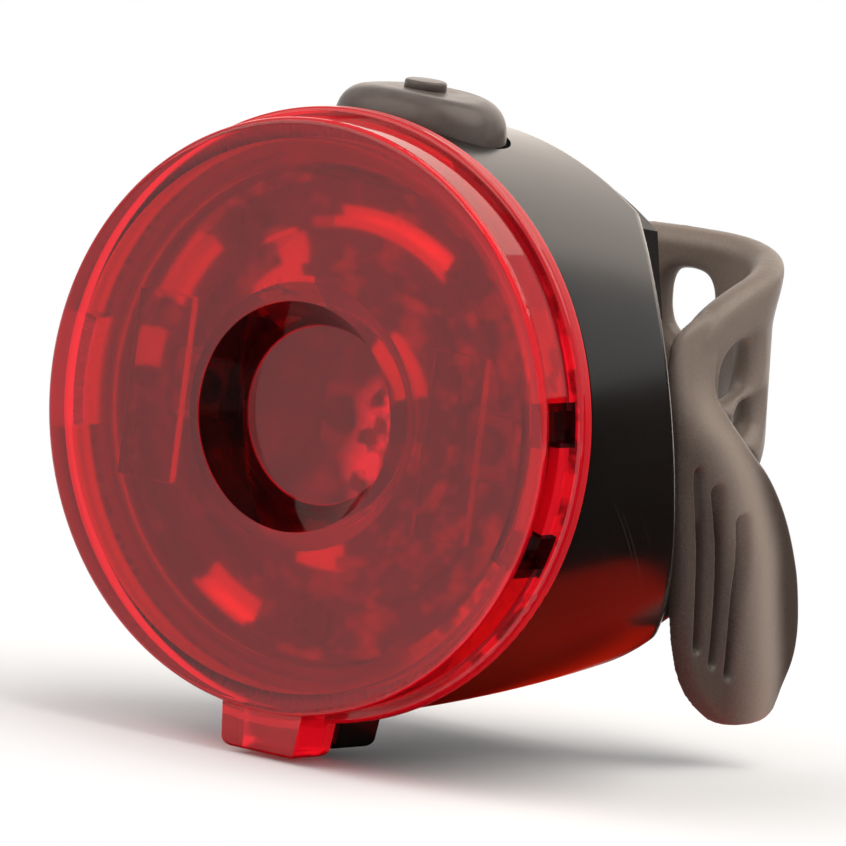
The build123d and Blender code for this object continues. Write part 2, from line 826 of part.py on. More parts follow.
lamp_parts = {
    "lens_cap": lens_cap(),
    "lens_seal": lens_seal(),
    "housing": housing(),
    "button": button(),
    "reflector": reflector(),
    "circuit_board": circuit_board(),
    "led_packages": led_packages(),
    "led_lenses": led_lenses(),
    "controller_chip": controller_chip(),
    "chip_resistors": chip_resistors(),
    "chip_capacitors": chip_capacitors(),
    "switch_body": switch_body(),
    "switch_plunger": switch_plunger(),
    "battery_carrier": battery_carrier(),
    "cell_cans": cell_cans(),
    "cell_gaskets": cell_gaskets(),
    "cell_caps": cell_caps(),
    "positive_contact": positive_contact(),
    "negative_contact": negative_contact(),
    "board_screws": board_screws(),
}

mount_parts = {
    "rear_bracket": rear_bracket(),
    "bracket_screws": bracket_screws(),
    "mount_pad": mount_pad(),
    "strap_pin": strap_pin(),
    "strap": strap(),
}

os.makedirs("parts", exist_ok=True)
for placement, parts in ((lamp_in_row, lamp_parts), (post_in_row, mount_parts)):
    for name, shape in parts.items():
        pieces = shape if isinstance(shape, list) else [shape]
        moved = [placement * piece for piece in pieces]
        whole = moved[0] if len(moved) == 1 else Compound(children=moved)
        export_step(whole, f"parts/{name}.step")
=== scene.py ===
import math
import bmesh
import bpy
from mathutils import Matrix, Vector


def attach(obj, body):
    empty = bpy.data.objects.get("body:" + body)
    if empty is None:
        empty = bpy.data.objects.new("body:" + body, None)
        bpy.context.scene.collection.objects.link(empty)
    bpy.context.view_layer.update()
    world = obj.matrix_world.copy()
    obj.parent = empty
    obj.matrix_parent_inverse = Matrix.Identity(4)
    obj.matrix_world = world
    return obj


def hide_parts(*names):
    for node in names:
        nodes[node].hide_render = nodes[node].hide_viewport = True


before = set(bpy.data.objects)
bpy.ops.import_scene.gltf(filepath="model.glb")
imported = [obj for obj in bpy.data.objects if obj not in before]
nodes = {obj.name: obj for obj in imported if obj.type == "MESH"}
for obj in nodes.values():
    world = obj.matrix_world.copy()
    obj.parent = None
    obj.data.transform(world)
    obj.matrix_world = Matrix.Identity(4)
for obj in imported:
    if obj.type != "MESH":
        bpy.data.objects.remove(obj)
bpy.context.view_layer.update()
mm = 0.001

# Housing. A slanted cup moulded in black ABS from a polished tool, with a pocket for the
# button. The tool leaves a high gloss with a faint orange peel, and handling leaves hairlines,
# which are drawn wider than real ones so that they show.

patch_share = 0.12
noise_range = (0.3, 0.7)
hairline_slant = 40
hairline_width = 0.11
hairline_length = 14.0
hairline_rarity = 0.79
hairline_fade = 0.03


def linear(code):
    """The linear colour of an sRGB hex value."""
    shares = [int(code[start:start + 2], 16) / 255 for start in (1, 3, 5)]
    return [share / 12.92 if share <= 0.04045 else ((share + 0.055) / 1.055) ** 2.4
            for share in shares] + [1.0]


def add_node(tree, kind, settings, links):
    """Adds a node with its settings, and links its inputs to other nodes' outputs."""
    node = tree.nodes.new(kind)
    for name, value in settings.items():
        if isinstance(name, int) or name in node.inputs:
            node.inputs[name].default_value = value
        else:
            setattr(node, name, value)
    for name, source in links.items():
        tree.links.new(source, node.inputs[name])
    return node


def new_finish(name, settings):
    """Starts a material from its shader's plain settings."""
    material = bpy.data.materials.new(name)
    material.use_nodes = True
    tree = material.node_tree
    tree.nodes.clear()
    shader = add_node(tree, "ShaderNodeBsdfPrincipled", settings, {})
    add_node(tree, "ShaderNodeOutputMaterial", {}, {"Surface": shader.outputs["BSDF"]})
    return material, tree, shader


def add_grain(tree, shader, grain, depth, roughness):
    """Grain of a size and depth in mm, with the roughness spread in patches over two values.

    Grain finer than about a tenth of a millimetre is drawn that coarse, so that it shows.
    """
    point = add_node(tree, "ShaderNodeTexCoord", {}, {}).outputs["Object"]
    fine = add_node(tree, "ShaderNodeTexNoise", {"Scale": 1 / (grain * mm), "Detail": 3.0},
                    {"Vector": point}).outputs["Fac"]
    broad = add_node(tree, "ShaderNodeTexNoise",
                     {"Scale": patch_share / (grain * mm), "Detail": 4.0},
                     {"Vector": point}).outputs["Fac"]
    spread = add_node(tree, "ShaderNodeMapRange",
                      {"From Min": noise_range[0], "From Max": noise_range[1],
                       "To Min": roughness[0], "To Max": roughness[1]}, {"Value": broad})
    tree.links.new(spread.outputs["Result"], shader.inputs["Roughness"])
    bump = add_node(tree, "ShaderNodeBump", {"Distance": depth * mm, "Strength": 1.0},
                    {"Height": fine})
    tree.links.new(bump.outputs["Normal"], shader.inputs["Normal"])
    return {"point": point, "fine": fine, "broad": broad}


def add_mottle(tree, shader, source, tones, ends=noise_range):
    """Lets a pattern turn the base colour from a dark tone to a light one."""
    ramp = add_node(tree, "ShaderNodeValToRGB", {}, {"Fac": source})
    for stop, tone, end in zip(ramp.color_ramp.elements, tones, ends):
        stop.position = end
        stop.color = linear(tone)
    tree.links.new(ramp.outputs["Color"], shader.inputs["Base Color"])
    return ramp.outputs["Color"]


def polar(tree, point):
    """A point's reach from the drum's axis, its turn about it and its depth along it."""
    parts = add_node(tree, "ShaderNodeSeparateXYZ", {}, {"Vector": point})
    flat = add_node(tree, "ShaderNodeCombineXYZ", {}, {"X": parts.outputs["X"],
                                                       "Y": parts.outputs["Z"]})
    reach = add_node(tree, "ShaderNodeVectorMath", {"operation": "LENGTH"},
                     {0: flat.outputs["Vector"]})
    turn = add_node(tree, "ShaderNodeMath", {"operation": "ARCTAN2"},
                    {0: parts.outputs["Z"], 1: parts.outputs["X"]})
    return {"reach": reach.outputs["Value"], "turn": turn.outputs["Value"],
            "depth": parts.outputs["Y"]}


def mix_tone(tree, shader, share, first, second):
    """Turns the base colour from one tone to another, each a colour or an output."""
    mix = add_node(tree, "ShaderNodeMix", {"data_type": "RGBA"}, {"Factor": share})
    ends = [socket for socket in mix.inputs if socket.type == "RGBA"]
    for socket, tone in zip(ends, (first, second)):
        if isinstance(tone, str):
            socket.default_value = linear(tone)
        else:
            tree.links.new(tone, socket)
    mixed = next(socket for socket in mix.outputs if socket.type == "RGBA")
    tree.links.new(mixed, shader.inputs["Base Color"])


def dress(name, material):
    """Gives a carried-over solid its finish."""
    nodes[name].data.materials.clear()
    nodes[name].data.materials.append(material)


gloss_abs, tree, shader = new_finish("polished_black_abs", {"IOR": 1.53})
patterns = add_grain(tree, shader, grain=1.6, depth=0.0012, roughness=(0.16, 0.24))
mottled = add_mottle(tree, shader, patterns["broad"], ("#100e0d", "#181514"))
place = polar(tree, patterns["point"])
round_run = add_node(tree, "ShaderNodeMath", {"operation": "MULTIPLY"},
                     {0: place["reach"], 1: place["turn"]})
unrolled = add_node(tree, "ShaderNodeCombineXYZ", {"Z": 0.0},
                    {"X": round_run.outputs["Value"], "Y": place["depth"]})
slanted = add_node(tree, "ShaderNodeMapping",
                   {"vector_type": "TEXTURE", "Rotation": (0, 0, math.radians(hairline_slant)),
                    "Scale": (hairline_width * mm, hairline_length * mm, 1.0)},
                   {"Vector": unrolled.outputs["Vector"]})
lines = add_node(tree, "ShaderNodeTexNoise", {"Scale": 1.0, "Detail": 0.0},
                 {"Vector": slanted.outputs["Vector"]})
hairlines = add_node(tree, "ShaderNodeMapRange",
                     {"From Min": hairline_rarity, "From Max": hairline_rarity + hairline_fade},
                     {"Value": lines.outputs["Fac"]})
mix_tone(tree, shader, hairlines.outputs["Result"], mottled, "#2d2926")
dress("housing", gloss_abs)

# Light board. White solder mask on fibreglass, with flat grey diode packages under clear resin
# domes in front, and black and tan chips soldered on the back. The screws that hold it and the
# bracket are black-zinced steel, a dark satin metal.


def grained_finish(name, settings, grain, depth, roughness, tones, mottle="fine"):
    """A finish with one grain all over, its colour mottled between two close tones."""
    material, tree, shader = new_finish(name, settings)
    patterns = add_grain(tree, shader, grain, depth, roughness)
    add_mottle(tree, shader, patterns[mottle], tones)
    return material


solder_mask = grained_finish("white_solder_mask", {"IOR": 1.5}, grain=0.3, depth=0.002,
                             roughness=(0.35, 0.5), tones=("#cfd0c8", "#e0e0da"))
dress("circuit_board", solder_mask)

led_package = grained_finish("grey_led_ceramic", {"IOR": 1.6}, grain=0.1, depth=0.001,
                             roughness=(0.4, 0.55), tones=("#6f6b62", "#8a857a"))
dress("led_packages", led_package)

led_resin, tree, shader = new_finish("clear_led_resin", {"IOR": 1.52, "Transmission Weight": 1.0,
                                                          "Base Color": linear("#f6ead2")})
add_grain(tree, shader, grain=0.4, depth=0.0004, roughness=(0.03, 0.06))
dress("led_lenses", led_resin)

epoxy = grained_finish("black_chip_epoxy", {"IOR": 1.55}, grain=0.08, depth=0.004,
                       roughness=(0.5, 0.65), tones=("#141416", "#202022"))
for name in ("controller_chip", "chip_resistors"):
    dress(name, epoxy)

ceramic = grained_finish("tan_capacitor_ceramic", {"IOR": 1.6}, grain=0.1, depth=0.003,
                         roughness=(0.4, 0.55), tones=("#8a6a45", "#a98659"))
dress("chip_capacitors", ceramic)

zinc = grained_finish("black_zinc_plated_steel", {"Metallic": 1.0}, grain=0.15, depth=0.002,
                      roughness=(0.3, 0.45), tones=("#2c2c2f", "#424348"), mottle="broad")
for name in ("board_screws", "bracket_screws"):
    dress(name, zinc)

# Push switch and battery carrier. Black glass-filled mouldings with a fine eroded grain that
# dulls them, and a pale, waxy acetal for the plunger and the cells' gaskets.

carrier_pbt = grained_finish("grained_black_pbt", {"IOR": 1.55}, grain=0.12, depth=0.006,
                             roughness=(0.42, 0.58), tones=("#151517", "#222224"))
for name in ("switch_body", "battery_carrier"):
    dress(name, carrier_pbt)

acetal = grained_finish("pale_acetal", {"IOR": 1.48, "Subsurface Weight": 0.1}, grain=0.2,
                        depth=0.002, roughness=(0.3, 0.42), tones=("#c6c2b6", "#d8d5cb"),
                        mottle="broad")
for name in ("switch_plunger", "cell_gaskets"):
    dress(name, acetal)

# Coin cells and contacts. Drawn steel cans and caps, and contact strips of spring steel, all
# with a satin nickel plate that gives a soft, slightly patchy mirror.

nickel = grained_finish("satin_nickel_plate", {"Metallic": 1.0}, grain=0.25, depth=0.002,
                        roughness=(0.2, 0.34), tones=("#b3b1aa", "#cfcdc6"), mottle="broad")
for name in ("cell_cans", "cell_caps", "positive_contact", "negative_contact"):
    dress(name, nickel)

# Reflector. One black ABS moulding, vacuum-metallised through a mask in a few arcs and spots, set
# where bright reflections fall, so the pale metal there is partly a painted highlight; a thin
# patchy overspray lies between them, so that most of what the lens shows stays dark. Each
# highlight window is a reach in mm and a turn in degrees about the drum's axis.

highlight_windows = [((11.0, 12.2), (52, 98)), ((12.6, 14.2), (140, 160)), ((7.2, 9.6), (113, 138)),
                ((9.6, 11.2), (112, 124)), ((12.4, 14.0), (-126, -108)), ((7.6, 9.2), (-98, -80)),
                ((4.6, 6.2), (20, 62)), ((12.9, 14.2), (168, 178))]
highlight_shine = 0.85
overspray_size = 2.6
overspray_range = (0.5, 0.68)
overspray_cover = (0.02, 0.7)
left_shade_place = (-8.0, -20.5, -3.0)
left_shade_reach = (3.0, 15.0)
left_shade_cover = 0.15
degree = math.radians(1)


def fold(tree, operation, masks):
    """Folds masks into one: MULTIPLY keeps what all share, MAXIMUM what any of them has."""
    folded = masks[0]
    for mask in masks[1:]:
        folded = add_node(tree, "ShaderNodeMath", {"operation": operation},
                          {0: folded, 1: mask}).outputs["Value"]
    return folded


def in_zone(tree, place, **limits):
    """1 between all the limits given, which are in mm or, for a turn, in degrees."""
    layers = []
    for name, (low, high) in limits.items():
        unit = degree if name == "turn" else mm
        layer = add_node(tree, "ShaderNodeMath",
                         {"operation": "COMPARE", 1: (low + high) / 2 * unit,
                          2: (high - low) / 2 * unit}, {0: place[name]})
        layers.append(layer.outputs["Value"])
    return fold(tree, "MULTIPLY", layers)


metallised, tree, shader = new_finish("metallised_abs_painted_highlights", {"IOR": 1.53})
patterns = add_grain(tree, shader, grain=0.5, depth=0.0015, roughness=(0.16, 0.3))
place = polar(tree, patterns["point"])
# Pale metal only where bright reflections fall: partly real metallising, partly a painted
# highlight.
highlight_spots = fold(tree, "MAXIMUM", [in_zone(tree, place, reach=reach, turn=turn)
                                 for reach, turn in highlight_windows])
overspray = add_node(tree, "ShaderNodeTexNoise", {"Scale": 1 / (overspray_size * mm),
                                                  "Detail": 3.0, "Roughness": 0.6},
                     {"Vector": patterns["point"]})
thin = add_node(tree, "ShaderNodeMapRange",
                {"From Min": overspray_range[0], "From Max": overspray_range[1],
                 "To Min": overspray_cover[0], "To Max": overspray_cover[1]},
                {"Value": overspray.outputs["Fac"]})
# Painted shade: near one place on the left the pale overspray is cut to a small share, so the
# reflector is darker there.
away = add_node(tree, "ShaderNodeVectorMath",
                {"operation": "DISTANCE", 1: [side * mm for side in left_shade_place]},
                {0: patterns["point"]})
left_shade_fade = add_node(tree, "ShaderNodeMapRange",
                  {"From Min": left_shade_reach[0] * mm, "From Max": left_shade_reach[1] * mm,
                   "To Min": left_shade_cover}, {"Value": away.outputs["Value"]})
misted = fold(tree, "MULTIPLY", [thin.outputs["Result"], left_shade_fade.outputs["Result"]])
mix_tone(tree, shader, fold(tree, "MAXIMUM", [highlight_spots, misted]), "#141112", "#e8e8ea")
shine = add_node(tree, "ShaderNodeMath", {"operation": "MULTIPLY", 1: highlight_shine},
                 {0: highlight_spots})
tree.links.new(shine.outputs["Value"], shader.inputs["Metallic"])
dress("reflector", metallised)

# Push button. Soft dark grey silicone in one moulding: a domed cap with a raised dot, a stem
# through the housing, a flange that keeps it in, and a nub that meets the switch. Fine grain
# and a little sheen give it a dry, even look.

button_depth = -16.35
button_long = 10.6
button_wide = 7.8
button_top = 19.15
button_edge = 1.75
button_square = 2.3
button_sides = 96
button_rings = 16
crown_radius = 30.0
edge_fullness = 0.8
shell_radius = 17.35
dot = {"radius": 1.25, "low": button_top - 0.3, "high": button_top + 0.5, "corner": 0.2}
stem = {"radius": 2.0, "low": 15.3, "high": 17.8, "corner": 0}
flange = {"radius": 2.9, "low": 14.8, "high": 15.5, "corner": 0.2}
nub = {"radius": 1.2, "low": 14.5, "high": 14.9, "corner": 0}
scene = bpy.context.scene


def new_object(name, shape, material):
    """Makes an object of a finished shape and gives it its finish."""
    mesh = bpy.data.meshes.new(name)
    shape.to_mesh(mesh)
    shape.free()
    mesh.materials.append(material)
    made = bpy.data.objects.new(name, mesh)
    scene.collection.objects.link(made)
    return made


def new_piece(name, shape, material, body):
    """Makes a smooth piece of a finished shape and puts it on its body."""
    piece = new_object(name, shape, material)
    piece.data.shade_smooth()
    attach(piece, body)
    return piece


def new_verts(made):
    """The vertices among what an operator has made."""
    return [item for item in made["geom"] if isinstance(item, bmesh.types.BMVert)]


def add_round(shape, middle, radius, low, high, corner):
    """Adds a round boss between two heights, with its upper rim rounded."""
    boss = bmesh.ops.create_cone(shape, cap_ends=True, segments=64, radius1=radius * mm,
                                 radius2=radius * mm, depth=(high - low) * mm)
    verts = boss["verts"]
    centre = Vector((middle[0], middle[1], (low + high) / 2)) * mm
    bmesh.ops.translate(shape, verts=verts, vec=centre)
    rim = [edge for edge in shape.edges if edge.verts[0] in verts and edge.verts[1] in verts
           and min(vert.co.z for vert in edge.verts) > high * mm - 1e-6]
    if corner:
        bmesh.ops.bevel(shape, geom=rim, offset=corner * mm, offset_type="OFFSET", segments=5,
                        profile=0.5, affect="EDGES", material=-1)


shape = bmesh.new()
bmesh.ops.create_circle(shape, cap_ends=False, segments=button_sides, radius=mm)
bmesh.ops.rotate(shape, verts=shape.verts[:],
                 matrix=Matrix.Rotation(math.pi / button_sides, 3, "Z"))
for vert in shape.verts:
    side_x, side_y = vert.co.x / mm, vert.co.y / mm
    fill = (abs(side_x) ** button_square + abs(side_y) ** button_square) ** (-1 / button_square)
    vert.co = Vector((side_x * fill * button_long, side_y * fill * button_wide, 0)) * mm / 2
foot = shape.edges[:]
for ring in range(1, button_rings + 1):
    grown = bmesh.ops.extrude_edge_only(shape, edges=foot)
    upper = new_verts(grown)
    foot = [item for item in grown["geom"] if isinstance(item, bmesh.types.BMEdge)
            and all(vert in upper for vert in item.verts)]
    for vert in upper:
        vert.co.z = ring * mm
bmesh.ops.contextual_create(shape, geom=foot)
bmesh.ops.recalc_face_normals(shape, faces=shape.faces[:])
for vert in shape.verts:
    ring = round(vert.co.z / mm)
    turn = ring / button_rings * math.pi / 2
    inset = button_edge * (1 - math.cos(turn)) if ring else 0.0
    along_out = vert.co.xy.length / mm
    keep = (along_out - inset) / along_out
    across = vert.co.x * keep
    base = math.sqrt((shell_radius * mm) ** 2 - across ** 2)
    crown = button_top * mm - across ** 2 / (2 * crown_radius * mm)
    height = base + (crown - base) * (math.sin(turn) ** edge_fullness if ring else 0.0)
    vert.co = Vector((across, vert.co.y * keep, height))
bmesh.ops.translate(shape, verts=shape.verts[:], vec=(0, button_depth * mm, 0))
for boss in (dot, stem, flange, nub):
    add_round(shape, (0.0, button_depth), **boss)
bmesh.ops.recalc_face_normals(shape, faces=shape.faces[:])

silicone_dark = grained_finish("moulded_dark_silicone",
                               {"IOR": 1.43, "Sheen Weight": 0.12, "Sheen Roughness": 0.4},
                               grain=0.11, depth=0.004, roughness=(0.3, 0.4),
                               tones=("#4b413d", "#574c47"), mottle="broad")
rubber_button = new_piece("rubber_button", shape, silicone_dark, "push_button")
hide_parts("button")

# Seal and lens cap. The seal is a flat black rubber ring. The cap is moulded in clear red
# acrylic, polished outside, so it glows along its edges; the inside of its face is finely
# eroded in the tool, which blurs what lies behind it.

seal_rubber = grained_finish("black_seal_rubber", {"IOR": 1.5}, grain=0.15, depth=0.005,
                             roughness=(0.6, 0.75), tones=("#0c0b0b", "#171515"))
dress("lens_seal", seal_rubber)

# Where the cap differs from its polished face: the blurred inner face and recess floor, painted
# shade on the wall of the recess and ends of the side pocket, the duller rim, edges and lip, and
# the frosted spots, which are chipped over the crescent in the recess and the block above it.
# Reaches and depths are in mm, turns in degrees.

polish = 0.035
inner_rough = 0.22
inner_zone = {"reach": (7.4, 16.3), "depth": (-24.6, -22.2)}
cup_rough = 0.3
cup_zone = {"depth": (-22.2, 0.0)}
shade_painted_zones = [{"reach": (5.26, 6.74), "depth": (-25.7, -22.8)},
              {"reach": (16.0, 17.6), "turn": (3.8, 12.5), "depth": (-25.2, -22.5)},
              {"reach": (16.0, 17.6), "turn": (-22.5, -13.6), "depth": (-25.2, -22.5)}]
clear = 0.94
rim_clear = 0.78
rim_start = {"reach": (16.0, 16.7)}
edge_clear = 0.5
edge_start = {"reach": (16.95, 17.4), "depth": (-25.3, -25.5)}
lip_zone = {"reach": (17.75, 18.2)}
facet_clear = 0.15
facet_size = 1.6
facet_range = (0.36, 0.52)
crescent_turn = -10
crescent_start = {"reach": (2.0, 3.9), "off_turn": (56, 30)}
crescent_zone = {"depth": (-23.0, -22.6)}
block_zone = {"reach": (6.4, 8.2), "turn": (92, 124), "depth": (-24.5, -21.6)}
boss_glow = 0.37
boss_start = {"reach": (14.3, 14.8), "far_turn": (166.5, 168.5)}
boss_zone = {"depth": (-25.8, -25.7)}
tongue_glow = 0.75
tongue_zone = {"reach": (16.6, 17.5), "turn": (-14.4, 4.6), "depth": (-23.8, -22.7)}


def rising(tree, place, **limits):
    """Rises from 0 to 1 between the limits of each kind given, folded into one mask."""
    ramps = []
    for name, (start, end) in limits.items():
        unit = mm if name in ("reach", "depth") else degree
        ramp = add_node(tree, "ShaderNodeMapRange",
                        {"From Min": start * unit, "From Max": end * unit}, {"Value": place[name]})
        ramps.append(ramp.outputs["Result"])
    return fold(tree, "MULTIPLY", ramps)


acrylic, tree, shader = new_finish("polished_red_acrylic", {"IOR": 1.49})
patterns = add_grain(tree, shader, grain=3.5, depth=0.0003, roughness=(0.03, 0.05))
mottled = add_mottle(tree, shader, patterns["broad"], ("#fa1226", "#ff182c"))
place = polar(tree, patterns["point"])
off_turn = add_node(tree, "ShaderNodeMath", {"operation": "SUBTRACT", 1: crescent_turn * degree},
                    {0: place["turn"]})
for name, source in (("off_turn", off_turn.outputs["Value"]), ("far_turn", place["turn"])):
    both_ways = add_node(tree, "ShaderNodeMath", {"operation": "ABSOLUTE"}, {0: source})
    place[name] = both_ways.outputs["Value"]

blurs = []
for zone, rough in ((inner_zone, inner_rough), (cup_zone, cup_rough)):
    blur = add_node(tree, "ShaderNodeMapRange", {"To Min": polish, "To Max": rough},
                    {"Value": in_zone(tree, place, **zone)})
    blurs.append(blur.outputs["Result"])
tree.links.new(fold(tree, "MAXIMUM", blurs), shader.inputs["Roughness"])
# Painted shade: the wall of the recess and the two ends of the side pocket are turned dark red.
painted_shade = fold(tree, "MAXIMUM", [in_zone(tree, place, **zone) for zone in shade_painted_zones])
mix_tone(tree, shader, painted_shade, mottled, "#38060a")

pattern = add_node(tree, "ShaderNodeTexNoise", {"Scale": 1 / (facet_size * mm), "Detail": 2.0},
                   {"Vector": patterns["point"]})
chips = add_node(tree, "ShaderNodeMapRange",
                 {"From Min": facet_range[0], "From Max": facet_range[1]},
                 {"Value": pattern.outputs["Fac"]})
crescent = fold(tree, "MULTIPLY", [rising(tree, place, **crescent_start),
                                   in_zone(tree, place, **crescent_zone)])
facets = fold(tree, "MAXIMUM", [crescent, in_zone(tree, place, **block_zone)])
frosted = [fold(tree, "MULTIPLY", [facets, chips.outputs["Result"]])]
boss = fold(tree, "MULTIPLY", [rising(tree, place, **boss_start),
                               in_zone(tree, place, **boss_zone)])
for zone, glow in ((boss, boss_glow), (in_zone(tree, place, **tongue_zone), tongue_glow)):
    dulled = add_node(tree, "ShaderNodeMath", {"operation": "MULTIPLY", 1: glow}, {0: zone})
    frosted.append(dulled.outputs["Value"])

rim = rising(tree, place, **rim_start)
edges = fold(tree, "MAXIMUM", [rising(tree, place, **edge_start),
                               in_zone(tree, place, **lip_zone)])
levels = []
for mask, off, on in ((rim, clear, rim_clear), (edges, 1.0, edge_clear),
                      (fold(tree, "MAXIMUM", frosted), 1.0, facet_clear)):
    level = add_node(tree, "ShaderNodeMapRange", {"To Min": off, "To Max": on}, {"Value": mask})
    levels.append(level.outputs["Result"])
tree.links.new(fold(tree, "MINIMUM", levels), shader.inputs["Transmission Weight"])
dress("lens_cap", acrylic)

# Rear bracket and its pin. The bracket is moulded in black nylon with a fine grain, screwed
# to the housing's back; the pin is a ground stainless rod with a fine, even shine.

nylon = grained_finish("grained_black_nylon", {"IOR": 1.53}, grain=0.1, depth=0.006,
                       roughness=(0.38, 0.52), tones=("#151313", "#211e1d"))
dress("rear_bracket", nylon)

stainless = grained_finish("ground_stainless", {"Metallic": 1.0}, grain=0.08, depth=0.001,
                           roughness=(0.2, 0.32), tones=("#a9a9a8", "#c0c0bf"), mottle="broad")
dress("strap_pin", stainless)

# Saddle pad. Soft black rubber, moulded with a dull grain and bonded to the bracket, hollowed
# for the post, with grooves across it that grip.

post_lean = 17.5
pad_half = (8.0, 8.5)
pad_back = -1.2
pad_curve = 16.0
pad_edge = 0.9
pad_edge_fall = 0.45
pad_pitch = 2.8
pad_groove_half = 0.45
pad_groove_deep = 0.4
pad_groove_places = (1.4, 7.0)

post_turn = Matrix.Rotation(math.radians(post_lean), 4, "X")
shape = bmesh.new()
bmesh.ops.create_grid(shape, x_segments=48, y_segments=96, size=mm)
for vert in shape.verts:
    across = vert.co.x / mm * pad_half[0]
    up = vert.co.y / mm * pad_half[1]
    edge_x = max(0.0, abs(across) - pad_half[0] + pad_edge) / pad_edge
    edge_z = max(0.0, abs(up) - pad_half[1] + pad_edge) / pad_edge
    face = pad_curve - math.sqrt(pad_curve ** 2 - across ** 2)
    face -= pad_edge_fall * (1 - math.sqrt(max(0.0, 1 - min(1.0, edge_x ** 2 + edge_z ** 2))))
    groove = abs((up / pad_pitch + 0.5) % 1.0 - 0.5) * pad_pitch
    if groove < pad_groove_half and pad_groove_places[0] < abs(up) < pad_groove_places[1]:
        face -= pad_groove_deep * (1 - (groove / pad_groove_half) ** 4)
    vert.co = Vector((across, face, up)) * mm
skin = bmesh.ops.extrude_face_region(shape, geom=shape.faces[:])
for vert in new_verts(skin):
    vert.co.y = pad_back * mm
bmesh.ops.transform(shape, matrix=post_turn, verts=shape.verts[:])
bmesh.ops.recalc_face_normals(shape, faces=shape.faces[:])

pad_rubber = grained_finish("moulded_black_rubber", {"IOR": 1.5}, grain=0.14, depth=0.006,
                            roughness=(0.55, 0.7), tones=("#1c1a19", "#2a2725"))
pad = new_piece("saddle_pad", shape, pad_rubber, "light")
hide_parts("mount_pad")

# Strap. One moulding in brown-grey silicone with a soft sheen: an eye on the pin, a band round
# the post with holes for the hook, and a leaf to pull it by, with three grooves for the thumb.
# A tone by place paints a highlight on the leaf's ridge, and shade in its hollow, far side and
# grooves.

root = (-10.9, -0.1)
side_x = 10.49
band_back = 11.25
bend = 6.2
band_lean = 10.8
band_half = 1.0
band_start = 1.3
band_overrun = 0.4
left_run = band_back - bend - band_start
arc_run = bend * math.pi / 2
back_run = side_x - root[0] - 2 * bend
near_run = band_back - bend + band_overrun


def band_line(run, out):
    """A place on the band round the post, at a run from the eye and a reach out of its middle."""
    if run < left_run:
        return root[0] - out, band_start + run
    run -= left_run
    if run < arc_run:
        turn, reach = run / bend, bend + out
        return root[0] + bend - reach * math.cos(turn), band_back - bend + reach * math.sin(turn)
    run -= arc_run
    if run < back_run:
        return root[0] + bend + run, band_back + out
    run -= back_run
    if run < arc_run:
        turn, reach = run / bend, bend + out
        return side_x - bend + reach * math.sin(turn), band_back - bend + reach * math.cos(turn)
    return side_x + out, band_back - bend - (run - arc_run)


def along(points, place):
    """A smooth curve through points of place and value, read at one place."""
    number = 0
    while number < len(points) - 2 and place > points[number + 1][0]:
        number += 1
    before = points[max(number - 1, 0)]
    start, end = points[number], points[number + 1]
    after = points[min(number + 2, len(points) - 1)]
    span = end[0] - start[0]
    share = min(1.0, max(0.0, (place - start[0]) / span))
    slope_start = (end[1] - before[1]) / (end[0] - before[0]) * span
    slope_end = (after[1] - start[1]) / (after[0] - start[0]) * span
    square, cube = share ** 2, share ** 3
    value = (2 * cube - 3 * square + 1) * start[1]
    value += (cube - 2 * square + share) * slope_start
    value += (3 * square - 2 * cube) * end[1]
    return value + (cube - square) * slope_end


def smooth_share(share):
    """A share held between 0 and 1 and eased at both ends."""
    share = min(1.0, max(0.0, share))
    return share ** 2 * (3 - 2 * share)


# Along the band: its whole run, the heights of its two edges at some runs, and where its upper
# edge flares. Each hole has the run and height of its middle, then half its length and height.

band_length = left_run + 2 * arc_run + back_run + near_run
top_edge = [(0, 6.6), (13, 6.6), (20, 7.1), (26, 7.3), (31, 7.5), (35, 7.3), (37, 6.8), (38, 5.9)]
low_edge = [(0, -2.2), (20, -2.2), (24, -2.5), (28, -3.9), (31.5, -5.3), (38, -5.6)]
flare = 0.5
flare_start = (22, 3.2)
flare_reach = (6, 3.6)
near_start = left_run + 2 * arc_run + back_run
holes = [(left_run + arc_run + 8.05, 2.75, 1.85, 2.15), (near_start + 0.9, 2.4, 1.85, 1.75),
         (near_start - 0.5, -0.95, 1.5, 1.15)]
hole_square = 2.6
hole_pull = 1.4
edge_round = 0.8
edge_thin = 0.3

shape = bmesh.new()
bmesh.ops.create_grid(shape, x_segments=190, y_segments=52, size=0.5)
for vert in shape.verts:
    run = (vert.co.x + 0.5) * band_length
    low, high = along(low_edge, run), along(top_edge, run)
    vert.co = Vector((run, low + (vert.co.y + 0.5) * (high - low), 0))


def hole_reach(hole, co):
    """How far a place is from a hole's middle, where 1 is the hole's edge."""
    across = abs((co.x - hole[0]) / hole[2]) ** hole_square
    upward = abs((co.y - hole[1]) / hole[3]) ** hole_square
    return (across + upward) ** (1 / hole_square)


